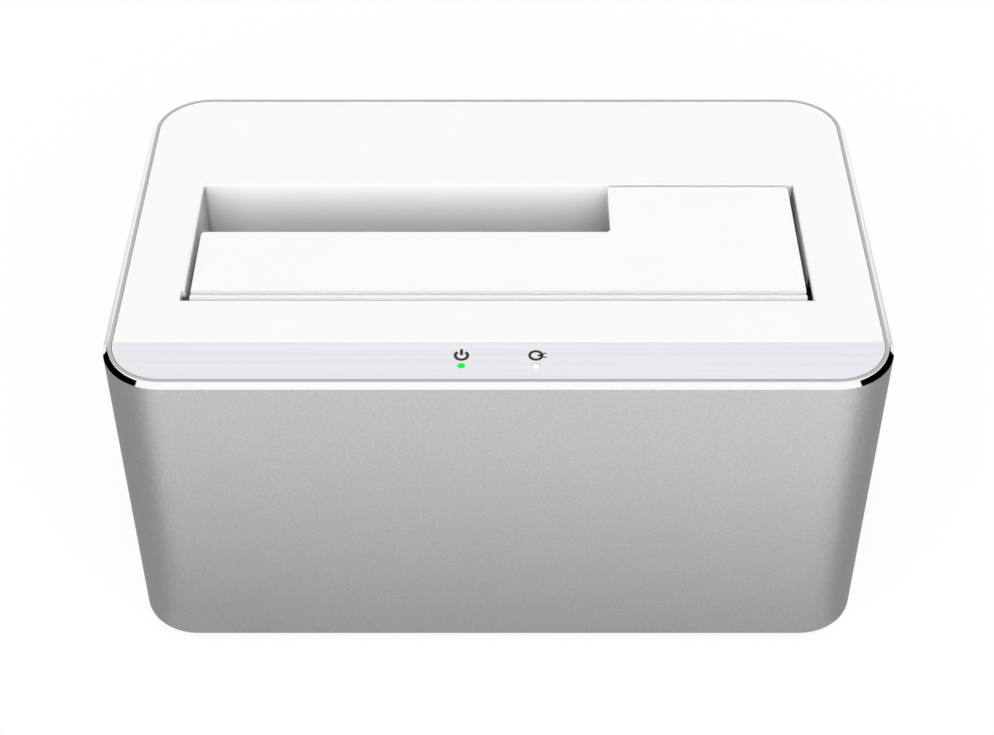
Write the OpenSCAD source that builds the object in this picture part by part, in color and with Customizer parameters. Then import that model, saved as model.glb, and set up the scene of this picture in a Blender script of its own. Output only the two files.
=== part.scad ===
// Desktop dock for bare hard drives: an aluminium shell with a white top panel,
// a sprung flap over the drive slot, and the board with its sockets inside.
// Sizes are in millimetres. +Z is up, -Y is the front, and the origin lies on the
// table under the centre of the shell.

/* [Shell] */
// Width of the aluminium shell
shell_w = 126.8; // [124:0.1:140]
// Depth of the shell from front to back
shell_d = 79; // [78:0.5:92]
// Height of the shell
shell_h = 60.5; // [56:0.5:72]
// Radius of the shell's upright corners
corner_r = 10.25; // [8:0.25:11]
// Thickness of the shell's wall
shell_wall = 2.6; // [2.3:0.1:3.2]
// Thickness left of the wall beside the top panel and the base plate
rim_wall = 1.4; // [1.2:0.05:1.6]
// Leg of the polished chamfer round the top edge
top_chamfer = 0.8; // [0.4:0.1:1]
// Leg of the small edge break round the bottom
bottom_chamfer = 0.4; // [0.2:0.1:0.8]

/* [Top panel] */
// Thickness of the top panel
panel_t = 3; // [2.8:0.1:3.6]
// Clearance between the shell and the plates that sit in it
seat_gap = 0.1; // [0.1:0.05:0.3]
// Depth of the brushed strip from its front edge to its rear edge
strip_d = 8.9; // [8:0.1:9.8]
// Thickness of the brushed strip
strip_t = 0.8; // [0.4:0.1:1.2]
// Distance of each indicator lens from the centre
lens_x = 5.9; // [4:0.1:9]
// Distance of the lenses from the strip's front edge
lens_inset = 3.2; // [2.2:0.1:4]
// Radius of a lens where it shows in the strip
lens_r = 0.6; // [0.5:0.05:1]

/* [Drive slot] */
// Width of the panel left at each end of the slot, which holds the hinge and the posts
end_land = 11.55; // [10.2:0.05:14]
// Depth of the slot from front to back
slot_d = 31.4; // [31:0.1:33]
// Distance of the slot's rear edge behind the centre
slot_rear_y = 12.4; // [11:0.1:14]
// Thickness of the slot's walls
slot_wall = 2.2; // [1.8:0.1:2.6]
// How far the slot's upper walls reach below the top panel
skirt_h = 18; // [14:0.5:24]
// Length of the mouth for a 2.5-inch drive
mouth_l = 71; // [70.5:0.1:74]
// Depth of that mouth from front to back
mouth_d = 13.3; // [11:0.1:15]

/* [Flap] */
// Thickness of the flap
flap_t = 2.4; // [2:0.1:2.8]
// Gap at each end of the flap
flap_side_gap = 1; // [0.6:0.05:1.4]
// Gap behind the flap
flap_rear_gap = 0.65; // [0.4:0.05:0.8]
// Radius of the hinge barrel
barrel_r = 1.5; // [1.4:0.05:1.6]
// How far the hinge's axis lies below the flap's face
hinge_drop = 2.5; // [2.4:0.05:2.6]
// Gap between the barrel and the slot's front wall
barrel_gap = 1.2; // [0.9:0.05:1.3]
// Gap between the rail in front of the flap and the slot's front wall
rail_gap = 0.75; // [0.6:0.05:1]
// Width of that rail
rail_w = 0.7; // [0.5:0.05:0.8]
// How far the rail's top lies below the flap's face
rail_drop = 0.05; // [0.05:0.05:0.3]
// Depth of the groove between the rail and the flap
groove_t = 1.2; // [0.8:0.05:1.3]
// Radius of the steel hinge pin
pin_r = 0.75; // [0.6:0.05:0.8]
// Radial running clearance of the flap on the pin
pin_play = 0.05; // [0.02:0.01:0.08]
// Mean radius of the torsion spring's coil
spring_r = 1.25; // [1.2:0.05:1.35]
// Radius of the spring wire
wire_r = 0.2; // [0.15:0.01:0.22]
// Turns of the spring's coil, ending a quarter turn past the top
spring_turns = 3.25; // [2.25:1:4.25]

/* [Base] */
// How far the feet hold the shell off the table
foot_drop = 1.5; // [1:0.1:3]
// Radius of a rubber foot
foot_r = 5; // [4:0.1:6]
// How far the base plate lies inside the shell's bottom edge
base_recess = 0.4; // [0.2:0.1:0.8]
// Thickness of the base plate
base_t = 2.5; // [2.4:0.1:3]
// Radius of the posts that the case screws hold
post_r = 3; // [2.6:0.1:3.4]
// Gap between a post and the inside of the shell
post_gap = 2.4; // [2:0.1:3]

/* [Board] */
// Gap between the main board and the case posts
board_side_gap = 2; // [1:0.1:4]
// Thickness of the circuit boards
board_t = 1.6; // [1.2:0.1:2]
// Room between the base plate and the main board
board_rise = 3; // [2.6:0.1:4]
// Room between the main board and the floor of the drive slot
floor_rise = 2.5; // [2.2:0.1:4]
// Thickness of the floor of the drive slot
floor_t = 2; // [1.6:0.1:2.6]
// Height of the drive connector above the board
sata_h = 10; // [9:0.1:12]
// Place of the drive connector's middle to the side of the centre
sata_x = -20; // [-22:0.5:-16]

/* [Rear sockets] */
// Place of the data socket to the side of the centre
usb_x = 0; // [-3:0.5:3]
// Place of the power inlet to the side of the centre
dc_x = -22; // [-26:0.5:-16]
// Place of the power button to the side of the centre
button_x = 22; // [17:0.5:26]
// Radius of the power button
button_r = 3.5; // [3:0.1:3.8]
// How far the button stands out of the shell
button_proud = 1; // [0.6:0.1:1.2]
// Travel of the button
button_travel = 1; // [0.5:0.1:1.2]
// Radius of the power inlet's centre pin
dc_pin_r = 1.05; // [0.9:0.05:1.25]

/* [Hidden] */
$fn = 64;
eps = 0.01;      // overlap that makes a cut go cleanly through a face
touch = 0.02;    // radial clearance of fixed round pieces
slip = 0.15;     // clearance of flat pieces that slide or drop in

// Shell, panel and base levels
top_z = foot_drop + shell_h;
panel_z = top_z - panel_t;
base_z = foot_drop + base_recess;
base_top_z = base_z + base_t;
inner_w = shell_w - 2 * shell_wall;
inner_d = shell_d - 2 * shell_wall;
inner_r = corner_r - shell_wall;
seat_w = shell_w - 2 * rim_wall;
seat_d = shell_d - 2 * rim_wall;
seat_r = corner_r - rim_wall;
panel_w = seat_w - 2 * seat_gap;
panel_d = seat_d - 2 * seat_gap;
panel_r = seat_r - seat_gap;
strip_rear_y = -panel_d / 2 + strip_d;
lens_y = -panel_d / 2 + lens_inset;

// Slot and flap: the slot is a little longer than a 3.5-inch drive is wide
slot_l = shell_w - 2 * end_land;
slot_front_y = slot_rear_y - slot_d;
skirt_z = panel_z - skirt_h;
hinge_y = slot_front_y + barrel_gap + barrel_r;
hinge_z = top_z - hinge_drop;
rail_y = slot_front_y + rail_gap;
rail_z = top_z - rail_drop;
groove_z = top_z - groove_t;
flap_w = slot_l - 2 * flap_side_gap;
flap_lead = 0.35;           // the flap's face starts this far in front of its hinge
flap_front_y = hinge_y - flap_lead;
flap_rear_y = slot_rear_y - flap_rear_gap;
flap_z = top_z - flap_t;
mouth_x = -slot_l / 2 + mouth_l;
mouth_y = slot_rear_y - mouth_d;
rib_h = 0.9;                // ribs under the flap
rib_t = 1.2;
rib_x = [-38, -12, 10, 40];
rib_margin = 1.5;           // the ribs stop this far from the flap's edges

// Tab on the flap that stops it flush with the panel, and its pocket
tab_w = 16;
tab_t = 1.2;
tab_reach = 1;              // how far the tab reaches under the panel
tab_root = 2.4;
tab_gap = 0.1;
lip_cut = 0.5;              // the pocket's height inside the panel's thickness
tab_x = (mouth_x + flap_w / 2) / 2;
tab_top_z = panel_z + lip_cut - tab_gap;
tab_tip_y = slot_rear_y + tab_reach;
tab_swing = tab_tip_y - hinge_y;
pocket_air = 0.3;           // behind the tab's tip
pocket_d = tab_reach + pocket_air;
pocket_drop = tab_t + sqrt(tab_swing * tab_swing - pow(slot_rear_y - hinge_y, 2)) + 2 * pocket_air;

// Torsion spring at the right end of the pin
coil_gap = 0.45;            // between the turns of a spring
spring_side = 0.35;         // between the slot's end and the spring
spring_air = 0.2;           // round the coil
spring_pitch = 2 * wire_r + coil_gap;
spring_x0 = slot_l / 2 + wire_r + spring_side;
spring_x1 = spring_x0 + spring_pitch * spring_turns;
spring_room = spring_r + wire_r + spring_air;
ear_gap = 0.6;              // between the spring and the ear that holds the pin
ear_x = max(slot_l / 2 + slot_wall, spring_x1 + wire_r) + ear_gap;
ear_t = 2;
ear_reach = 3;
web_t = 1.5;
leg_out = 4.2;              // reach of the leg under the flap
leg_in = 3.4;               // how far that leg runs in under the flap
leg_down = 6.5;             // length of the leg on the housing
web_down = 1;               // the web reaches this far below that leg
leg_gap = 0.1;              // between a leg and what it presses on
leg_rest = spring_room - wire_r - leg_gap / 2;
leg_rise = flap_z - hinge_z - wire_r - leg_gap;   // height of the leg under the flap
leg_bend = 0.5;             // where that leg bends towards the coil
window_air = 0.6;
window_rear = leg_out + wire_r + window_air;
wire_sides = 6;
rings_per_turn = 12;
notch_d = 0.5;              // small notch beside the hinge at the slot's left end
notch_l = 3;
notch_h = 4;

// Screws: [shank radius, shank length, head radius, head height]
case_screw = [1.4, 10, 2.6, 1.4];
guide_screw = [1.1, 8, 2, 1.4];
board_screw = [1.1, 5.5, 2, 1.3];
led_screw = [0.9, 4, 1.6, 1];
thread_gap = 0.05;          // radial clearance of a screw in its pilot hole
hole_gap = 0.3;             // radial clearance of a screw through a plate
screw_end = 1;              // depth of a pilot hole past the end of its screw
recess_w = 0.5;             // width of the cross recess in a screw head

// Case posts
post_x = inner_w / 2 - post_gap - post_r;
post_y = inner_d / 2 - post_gap - post_r;
base_skin = 1;              // plastic left under a case screw's head
foot_inset = [17.2, 7.2];   // from the edges of the base plate to a foot's middle
foot_seat = 0.7;            // depth of the recess that holds a foot
foot_gap = 0.1;
foot_dome = 0.5;            // edge break of a foot
base_w = seat_w - 2 * seat_gap;
base_d = seat_d - 2 * seat_gap;
foot_x = base_w / 2 - foot_inset[0];
foot_y = base_d / 2 - foot_inset[1];
foot_names = ["foot_front_left", "foot_front_right", "foot_rear_left", "foot_rear_right"];

// Main board and drive well
board_w = 2 * (post_x - post_r - board_side_gap);
board_z = base_top_z + board_rise;
board_top_z = board_z + board_t;
board_gap = 0.4;
board_rear_y = inner_d / 2 - board_gap;
floor_z = board_top_z + floor_rise;
floor_top_z = floor_z + floor_t;
leg_r = 2.8;
leg_inset = 6;              // from the board's side to the middle of a leg
leg_x = board_w / 2 - leg_inset;
leg_off = 2;                // from the well's outer face to the middle of a leg
leg_h = 11;
leg_front_y = slot_front_y - slot_wall - leg_off;
leg_rear_y = slot_rear_y + slot_wall + leg_off;
board_margin = 1.4;         // board left in front of the legs
board_front_y = leg_front_y - leg_r - board_margin;
lug_r = 3.2;
lug_x = 30;
lug_t = 3;
lug_off = 2.4;              // from the well's outer face to the middle of a screw lug
boss_r = 2.6;
lug_front_y = slot_front_y - slot_wall - lug_off;
lug_rear_y = slot_rear_y + slot_wall + lug_off;
pillar_r = 2.5;
pillar_side = 8;            // from the board's side to a pillar under it
pillar_rows = [-14, 4];

// Components on the main board: the places of their middles, and their sizes
bridge_at = [2, -8];
bridge_size = [9, 9, 1];
regulator_side = 16;        // from the board's side to the regulator
regulator_at = [board_w / 2 - regulator_side, -6];
regulator_size = [5, 4, 1.5];
crystal_at = [12, -8];
crystal_size = [3.2, 5, 1.1];
part_size = [1, 1.7, 0.8];
part_step = 2.6;
part_count = 7;
part_rows = [-15.5, -0.5];
inductor_side = 14;         // from the board's side to the inductors
inductor_size = [6.5, 6.5, 3.2];
can_side = 12;              // from the board's side to the capacitors
can_r = 3.15;
can_h = 8;
rear_rows = [6, 14];        // from the board's rear edge to the tall components

// Drive connector: [length, thickness] of the body and of its wings
sata_body = [37, 5];
sata_wing = [43, 5];
sata_wing_h = 2.2;
sata_back = 3.6;            // from the slot's rear wall to the middle of the connector
sata_y = slot_rear_y - sata_back;
sata_slot_w = 1.5;
sata_slot_depth = 6;
sata_power_l = 20.4;
sata_signal_l = 10;
sata_key = [1.2, 1.1];
sata_step = 1.27;
sata_rail = 1.2;            // wall between the two slots and at the ends
contact_w = 0.7;
contact_t = 0.3;
contact_h = 5;
power_contacts = 15;
signal_contacts = 7;

// Data socket: half width, height, corner cut, half width and height of its upper part
usb_half = 4.25;
usb_low_h = 7.8;
usb_cut = 0.9;
usb_top_half = 2.4;
usb_h = 10.4;
usb_skin = 0.4;
usb_l = 17;
usb_depth = 9;
usb_lap = 0.4;              // the socket's mouth lies this far inside the shell's face
usb_tongue = [5.6, 3.2];
usb_tongue_z = 2.3;
usb_blade = [3.8, 1];
usb_blade_z = 8.8;
usb_front = 0.8;            // the tongues stop this far inside the mouth
usb_z = board_top_z + usb_skin;
port_gap = 0.4;             // clearance of the sockets in the shell's holes
usb_contact_t = 0.15;
usb_contact_w = [1, 0.4];   // width of the contacts on the lower and on the upper tongue
usb_contact_step = [2.5, 0.75];
usb_contact_short = 1;      // the contacts stop this far from the tongues' ends

// Power inlet
dc_body = [9, 11];
dc_l = 11;
dc_nose_r = 4.1;
dc_bore_r = 3.15;
dc_depth = 9.5;
dc_axis_h = 6.5;
dc_lap = 0.3;
dc_pin_short = 1;
dc_z = board_top_z + dc_axis_h;
dc_face_y = shell_d / 2 - dc_lap;
dc_floor_y = dc_face_y - dc_depth;

// Power button and its switch
button_rise = 6;            // height of the button's middle above the board
button_z = board_top_z + button_rise;
button_gap = 0.3;
flange_t = 1;
flange_w = 1.1;
flange_r = button_r + flange_w;
flange_y = inner_d / 2 - button_gap - flange_t;
plunger_w = 3;
plunger_grip = 2.2;
switch_w = 8;
switch_l = 11;
switch_air = 1.4;           // between the pressed button and the switch
switch_gap = button_travel + switch_air;
switch_front_y = flange_y - switch_gap;
switch_depth = 8.6;
plunger_in = 4.5;
coil_r = 1;                 // return spring behind the plunger
coil_wire_r = 0.15;
coil_turns = 5;
coil_start_y = switch_front_y - switch_depth + coil_wire_r + touch;
coil_pitch = (switch_depth - plunger_in - 2 * coil_wire_r - 2 * touch) / coil_turns;

// Indicator board under the strip
led_board_w = 32;
led_board_d = 9;
led_drop = 4.5;             // from the panel's underside to the indicator board
led_board_z = panel_z - led_drop - board_t;
led_board_y = -inner_d / 2 + board_gap;
led_size = [3, 2, 1.3];
led_boss_r = 2.2;
led_boss_x = 12.5;
led_boss_y = led_board_y + led_board_d - 2.6;
lens_collar_r = 1.2;
lens_air = 0.2;             // between an indicator and its lens
plug_size = [10, 4.5, 4];
plug_y = led_board_y + led_board_d - 2.4;
header_size = [10, 4.5, 5];
header_gap = 0.95;          // between the header and the drive well
header_y = slot_front_y - slot_wall - header_gap - header_size[1] / 2;
ribbon_w = 6;
ribbon_t = 0.9;
ribbon_steps = 24;

// Rectangle with round corners, centred
module rounded_rect(w, d, r) {
    square([w - 2 * r, d], center = true);
    square([w, d - 2 * r], center = true);
    for (x = [-1, 1], y = [-1, 1])
        translate([x * (w / 2 - r), y * (d / 2 - r)]) circle(r);
}

module rounded_slab(w, d, r, h) {
    linear_extrude(h) rounded_rect(w, d, r);
}

// Solid outside of the shell: two crossed bars and four round corners, chamfered at both ends
module shell_body() {
    for (x = [-1, 1], y = [-1, 1])
        translate([x * (shell_w / 2 - corner_r), y * (shell_d / 2 - corner_r), 0]) {
            cylinder(r1 = corner_r - bottom_chamfer, r2 = corner_r, h = bottom_chamfer);
            translate([0, 0, bottom_chamfer])
                cylinder(r = corner_r, h = shell_h - bottom_chamfer - top_chamfer);
            translate([0, 0, shell_h - top_chamfer])
                cylinder(r1 = corner_r, r2 = corner_r - top_chamfer, h = top_chamfer);
        }
    rotate([90, 0, 0]) chamfered_bar(shell_w, shell_d - 2 * corner_r);
    rotate([90, 0, 90]) chamfered_bar(shell_d, shell_w - 2 * corner_r);
}

// Bar of the shell's height and length l, chamfered along its two long sides
module chamfered_bar(w, l) {
    linear_extrude(l, center = true) polygon([
        [bottom_chamfer - w / 2, 0], [w / 2 - bottom_chamfer, 0], [w / 2, bottom_chamfer],
        [w / 2, shell_h - top_chamfer], [w / 2 - top_chamfer, shell_h], [top_chamfer - w / 2, shell_h],
        [-w / 2, shell_h - top_chamfer], [-w / 2, bottom_chamfer]]);
}

// Upright bar that starts at the given corner
module bar(corner, size) {
    translate(corner) cube(size);
}

// Children laid along +Y, with their Y turned up
module to_rear(at) {
    translate(at) rotate([90, 0, 180]) children();
}

// Round bar along X from x0 to x1 on the hinge axis
module on_hinge(r, x0, x1) {
    translate([x0, hinge_y, hinge_z]) rotate([0, 90, 0]) cylinder(r = r, h = x1 - x0);
}

// Pan-head screw that points up, with the underside of its head at z = 0
module screw(size) {
    difference() {
        union() {
            cylinder(r = size[0], h = size[1]);
            translate([0, 0, -size[3]]) cylinder(r = size[2], h = size[3]);
        }
        for (turn = [0, 90])
            rotate(turn)
                translate([-size[2] * 0.6, -recess_w / 2, -size[3] - eps])
                    cube([size[2] * 1.2, recess_w, size[3] * 0.6]);
    }
}

// Pilot hole for a screw whose head's underside is at z = 0
module pilot(size) {
    translate([0, 0, -eps]) cylinder(r = size[0] + thread_gap, h = size[1] + screw_end);
}

module at_posts() {
    for (x = [-1, 1], y = [-1, 1]) translate([x * post_x, y * post_y, 0]) children();
}

module at_lugs() {
    for (x = [-1, 1], y = [lug_front_y, lug_rear_y]) translate([x * lug_x, y, 0]) children();
}

module at_legs() {
    for (x = [-1, 1], y = [leg_front_y, leg_rear_y]) translate([x * leg_x, y, 0]) children();
}

module at_led_bosses() {
    for (x = [-1, 1]) translate([x * led_boss_x, led_boss_y, 0]) children();
}

// Outline of the data socket, grown by g all round
module usb_outline(g) {
    k = (sqrt(2) - 1) * g;
    half = usb_half + g;
    polygon([
        [-half, -g], [half, -g], [half, usb_low_h - usb_cut + k],
        [usb_half - usb_cut + k, usb_low_h + g], [usb_top_half + g, usb_low_h + g],
        [usb_top_half + g, usb_h + g], [-usb_top_half - g, usb_h + g],
        [-usb_top_half - g, usb_low_h + g], [usb_cut - usb_half - k, usb_low_h + g],
        [-half, usb_low_h - usb_cut + k]]);
}

// Aluminium extrusion, open at both ends, with a seat cut for each plate
module outer_shell() {
    color("silver") difference() {
        translate([0, 0, foot_drop]) shell_body();
        translate([0, 0, foot_drop - 1]) rounded_slab(inner_w, inner_d, inner_r, shell_h + 2);
        translate([0, 0, panel_z]) rounded_slab(seat_w, seat_d, seat_r, panel_t + 1);
        translate([0, 0, foot_drop - 1])
            rounded_slab(seat_w, seat_d, seat_r, base_recess + base_t + 1);
        to_rear([usb_x, inner_d / 2 - 1, usb_z])
            linear_extrude(shell_wall + 2) usb_outline(usb_skin + port_gap);
        to_rear([dc_x, inner_d / 2 - 1, dc_z]) cylinder(r = dc_nose_r + port_gap, h = shell_wall + 2);
        to_rear([button_x, inner_d / 2 - 1, button_z])
            cylinder(r = button_r + button_gap, h = shell_wall + 2);
    }
}

// Moulded top with the slot's upper walls, the case posts and the screw bosses
module top_panel() {
    color("white") difference() {
        union() {
            translate([0, 0, panel_z]) rounded_slab(panel_w, panel_d, panel_r, panel_t);
            bar([-slot_l / 2 - slot_wall, slot_front_y - slot_wall, skirt_z],
                [slot_l + 2 * slot_wall, slot_d + 2 * slot_wall, skirt_h + eps]);
            at_posts() translate([0, 0, base_top_z])
                cylinder(r = post_r, h = panel_z - base_top_z + eps);
            at_lugs() translate([0, 0, skirt_z]) cylinder(r = boss_r, h = skirt_h + eps);
            at_led_bosses() translate([0, 0, panel_z - led_drop])
                cylinder(r = led_boss_r, h = led_drop + eps);
            bar([ear_x, hinge_y - ear_reach, hinge_z - ear_reach],
                [ear_t, 2 * ear_reach, panel_z - hinge_z + ear_reach + eps]);
            bar([slot_l / 2 + slot_wall - eps, hinge_y - spring_room - web_t,
                 hinge_z - leg_down - web_down],
                [ear_x + ear_t - slot_l / 2 - slot_wall, web_t,
                 panel_z - hinge_z + leg_down + web_down + eps]);
        }
        bar([-slot_l / 2, slot_front_y, skirt_z - 1], [slot_l, slot_d, skirt_h + panel_t + 2]);
        bar([-panel_w, -panel_d, top_z - strip_t], [2 * panel_w, panel_d + strip_rear_y, strip_t + 1]);
        for (x = [-lens_x, lens_x])
            translate([x, lens_y, panel_z - 1]) cylinder(r = lens_r + touch, h = panel_t + 2);
        on_hinge(pin_r + touch, -slot_l / 2 - slot_wall - 1, ear_x + ear_t + 1);
        spring_window();
        tab_pocket();
        bar([-slot_l / 2 - notch_d, slot_front_y, top_z - notch_h], [notch_d + eps, notch_l, notch_h + 1]);
        at_posts() translate([0, 0, base_top_z]) pilot(case_screw);
        at_lugs() translate([0, 0, skirt_z - lug_t]) pilot(guide_screw);
        at_led_bosses() translate([0, 0, led_board_z]) pilot(led_screw);
    }
}

// Opening in the slot's right wall that the spring and its leg move in
module spring_window() {
    bar([slot_l / 2 - eps, hinge_y - spring_room, hinge_z - window_rear],
        [slot_wall + 2 * eps, spring_room + window_rear, window_rear + spring_room]);
    bar([slot_l / 2, hinge_y - spring_room, panel_z - 1],
        [ear_x - slot_l / 2, 2 * spring_room, hinge_z + spring_room - panel_z + 1]);
}

// Pocket in the slot's rear wall that the flap's tab swings out of
module tab_pocket() {
    bar([tab_x - tab_w / 2 - slip, slot_rear_y - eps, panel_z + lip_cut - pocket_drop],
        [tab_w + 2 * slip, pocket_d + eps, pocket_drop]);
}

// Brushed aluminium strip let into the front of the panel
module indicator_strip() {
    color("gainsboro") difference() {
        intersection() {
            translate([0, 0, top_z - strip_t]) rounded_slab(panel_w, panel_d, panel_r, strip_t);
            bar([-panel_w, -panel_d, 0], [2 * panel_w, panel_d + strip_rear_y, 2 * top_z]);
        }
        for (x = [-lens_x, lens_x])
            translate([x, lens_y, panel_z]) cylinder(r = lens_r + touch, h = panel_t + 1);
    }
}

// Clear light pipe from an indicator up to the strip's face
module light_pipe(x) {
    led_top_z = led_board_z + board_t + led_size[2];
    translate([x, lens_y, 0]) {
        translate([0, 0, led_top_z + lens_air])
            cylinder(r = lens_collar_r, h = panel_z - led_top_z - lens_air);
        translate([0, 0, panel_z]) cylinder(r = lens_r, h = panel_t);
    }
}

module power_lens() {
    color("limegreen") light_pipe(-lens_x);
}

module activity_lens() {
    color("white") light_pipe(lens_x);
}

module led_board() {
    color("darkgreen") difference() {
        bar([-led_board_w / 2, led_board_y, led_board_z], [led_board_w, led_board_d, board_t]);
        at_led_bosses() translate([0, 0, led_board_z - 1])
            cylinder(r = led_screw[0] + hole_gap, h = board_t + 2);
    }
}

module surface_led(x) {
    translate([x, lens_y, led_board_z + board_t + led_size[2] / 2]) cube(led_size, center = true);
}

module power_led() {
    color("palegreen") surface_led(-lens_x);
}

module activity_led() {
    color("ivory") surface_led(lens_x);
}

module led_plug() {
    color("ivory")
        bar([-plug_size[0] / 2, plug_y - plug_size[1] / 2, led_board_z - plug_size[2]], plug_size);
}

module ribbon_header() {
    color("ivory") bar([-header_size[0] / 2, header_y - header_size[1] / 2, board_top_z], header_size);
}

// Flat cable that eases from the header up to the indicator board's plug
module led_ribbon() {
    low = board_top_z + header_size[2];
    rise = led_board_z - plug_size[2] - low;
    middle = [for (i = [0:ribbon_steps])
        let (t = i / ribbon_steps)
        [header_y + (plug_y - header_y) * t * t * (3 - 2 * t), low + rise * t]];
    outline = concat(
        [for (p = middle) p - [ribbon_t / 2, 0]],
        [for (i = [ribbon_steps:-1:0]) middle[i] + [ribbon_t / 2, 0]]);
    color("lightgray") rotate([90, 0, 90]) linear_extrude(ribbon_w, center = true) polygon(outline);
}

module led_board_screws() {
    color("dimgray") at_led_bosses() translate([0, 0, led_board_z]) screw(led_screw);
}

// Sprung flap: a plate cut away at its rear left corner for a 2.5-inch drive
module flap() {
    color("whitesmoke") difference() {
        union() {
            translate([0, 0, flap_z]) linear_extrude(flap_t) polygon([
                [-flap_w / 2, flap_front_y], [flap_w / 2, flap_front_y], [flap_w / 2, flap_rear_y],
                [mouth_x, flap_rear_y], [mouth_x, mouth_y], [-flap_w / 2, mouth_y]]);
            on_hinge(barrel_r, -flap_w / 2, flap_w / 2);
            hinge_rail();
            bar([tab_x - tab_w / 2, flap_rear_y - tab_root, tab_top_z - tab_t],
                [tab_w, tab_root - eps, flap_z - tab_top_z + tab_t + eps]);
            bar([tab_x - tab_w / 2, flap_rear_y - tab_root, tab_top_z - tab_t],
                [tab_w, tab_tip_y - flap_rear_y + tab_root, tab_t]);
            for (x = rib_x) flap_rib(x);
        }
        on_hinge(pin_r + pin_play, -flap_w, flap_w);
    }
}

// Rail in front of the flap, above the barrel, with a groove between it and the flap
module hinge_rail() {
    bar([-flap_w / 2, rail_y, hinge_z], [flap_w, hinge_y - rail_y, groove_z - hinge_z]);
    bar([-flap_w / 2, rail_y, hinge_z], [flap_w, rail_w, rail_z - hinge_z]);
}

// Rib under the flap, shorter where the mouth cuts the flap away
module flap_rib(x) {
    rear = (x < mouth_x ? mouth_y : flap_rear_y - tab_root) - rib_margin;
    bar([x - rib_t / 2, hinge_y, flap_z - rib_h], [rib_t, rear - hinge_y, rib_h + eps]);
}

module hinge_pin() {
    color("lightsteelblue") on_hinge(pin_r, -slot_l / 2 - slot_wall, ear_x + ear_t);
}

// Points of the spring wire: the leg under the flap, the coil and the leg on the housing
function spring_point(x, u, w) = [x, hinge_y + u, hinge_z + w];
spring_path = concat(
    [for (p = [[flap_w / 2 - leg_in, leg_out, leg_rise], [flap_w / 2 - leg_bend, leg_out, leg_rise],
               [spring_x0 - leg_bend, leg_out, leg_rise],
               [spring_x0 - leg_bend / 5, leg_out - leg_bend * 0.4, leg_rise],
               [spring_x0, leg_out - leg_bend * 1.6, leg_rise + leg_bend * 0.3],
               [spring_x0, leg_out / 2, spring_r * 0.65], [spring_x0, leg_out / 4, spring_r * 0.95]])
        spring_point(p[0], p[1], p[2])],
    [for (i = [0:rings_per_turn * spring_turns])
        let (turn = i / rings_per_turn)
        spring_point(spring_x0 + spring_pitch * turn,
            spring_r * cos(90 + 360 * turn), spring_r * sin(90 + 360 * turn))],
    [for (p = [[-spring_r, -spring_r], [-leg_rest, spring_r - leg_down], [-leg_rest, -leg_down]])
        spring_point(spring_x1, p[0], p[1])]);

function unit(v) = v / norm(v);
function square_to(n, t) = unit(n - (n * t) * t);

// One closed tube of radius r along the points
module wire(points, r, sides) {
    last = len(points) - 1;
    along = [for (i = [0:last]) unit(points[min(i + 1, last)] - points[max(i - 1, 0)])];
    across = [for (i = 0, n = square_to([0, 0, 1], along[0]); i <= last;
                   i = i + 1, n = square_to(n, along[min(i, last)])) n];
    ring_points = [for (i = [0:last], k = [0:sides - 1])
        points[i] + r * (cos(360 * k / sides) * across[i]
            + sin(360 * k / sides) * cross(along[i], across[i]))];
    skin = [for (i = [0:last - 1], k = [0:sides - 1])
        let (a = i * sides + k, b = i * sides + (k + 1) % sides)
        each [[a, a + sides, b], [b, a + sides, b + sides]]];
    caps = [for (k = [1:sides - 2])
        each [[0, k, k + 1], [last * sides, last * sides + k + 1, last * sides + k]]];
    polyhedron(ring_points, concat(skin, caps));
}

// Points of the compression spring behind the switch's plunger
coil_path = [for (i = [0:rings_per_turn * coil_turns])
    let (turn = i / rings_per_turn)
    [button_x + coil_r * cos(360 * turn), coil_start_y + coil_pitch * turn,
     button_z + coil_r * sin(360 * turn)]];

// Least gap of a wire to itself, over points at least half a turn apart
function least_gap(path, r) = min([for (i = [0:len(path) - 1],
                                        j = [i + rings_per_turn / 2:1:len(path) - 1])
    norm(path[i] - path[j])]) - 2 * r;
echo(flap_spring_gap = least_gap(spring_path, wire_r));
echo(switch_spring_gap = least_gap(coil_path, coil_wire_r));

module flap_spring() {
    color("dimgray") wire(spring_path, wire_r, wire_sides);
}

// Lower part of the drive well, with legs for the main board and lugs for its screws
module drive_guide() {
    color("dimgray") difference() {
        union() {
            bar([-slot_l / 2 - slot_wall, slot_front_y - slot_wall, floor_z],
                [slot_l + 2 * slot_wall, slot_d + 2 * slot_wall, skirt_z - floor_z]);
            at_legs() translate([0, 0, board_top_z]) cylinder(r = leg_r, h = leg_h);
            at_lugs() translate([0, 0, skirt_z - lug_t]) cylinder(r = lug_r, h = lug_t);
            for (x = [-1, 1])
                bar([x * lug_x - lug_r, lug_front_y, skirt_z - lug_t],
                    [2 * lug_r, lug_rear_y - lug_front_y, lug_t]);
        }
        bar([-slot_l / 2, slot_front_y, floor_top_z], [slot_l, slot_d, skirt_z]);
        bar([sata_x - sata_body[0] / 2 - slip, sata_y - sata_body[1] / 2 - slip, floor_z - 1],
            [sata_body[0] + 2 * slip, sata_body[1] + 2 * slip, floor_t + 2]);
        at_legs() translate([0, 0, board_z]) pilot(board_screw);
        at_lugs() translate([0, 0, skirt_z - lug_t - 1])
            cylinder(r = guide_screw[0] + hole_gap, h = lug_t + 2);
    }
}

module guide_screws() {
    color("dimgray") at_lugs() translate([0, 0, skirt_z - lug_t]) screw(guide_screw);
}

// Place of the power part and of the signal part in the drive connector
sata_power_x = sata_x - sata_body[0] / 2 + sata_rail;
sata_signal_x = sata_x + sata_body[0] / 2 - sata_rail - sata_signal_l;
sata_top_z = board_top_z + sata_h;

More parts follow.
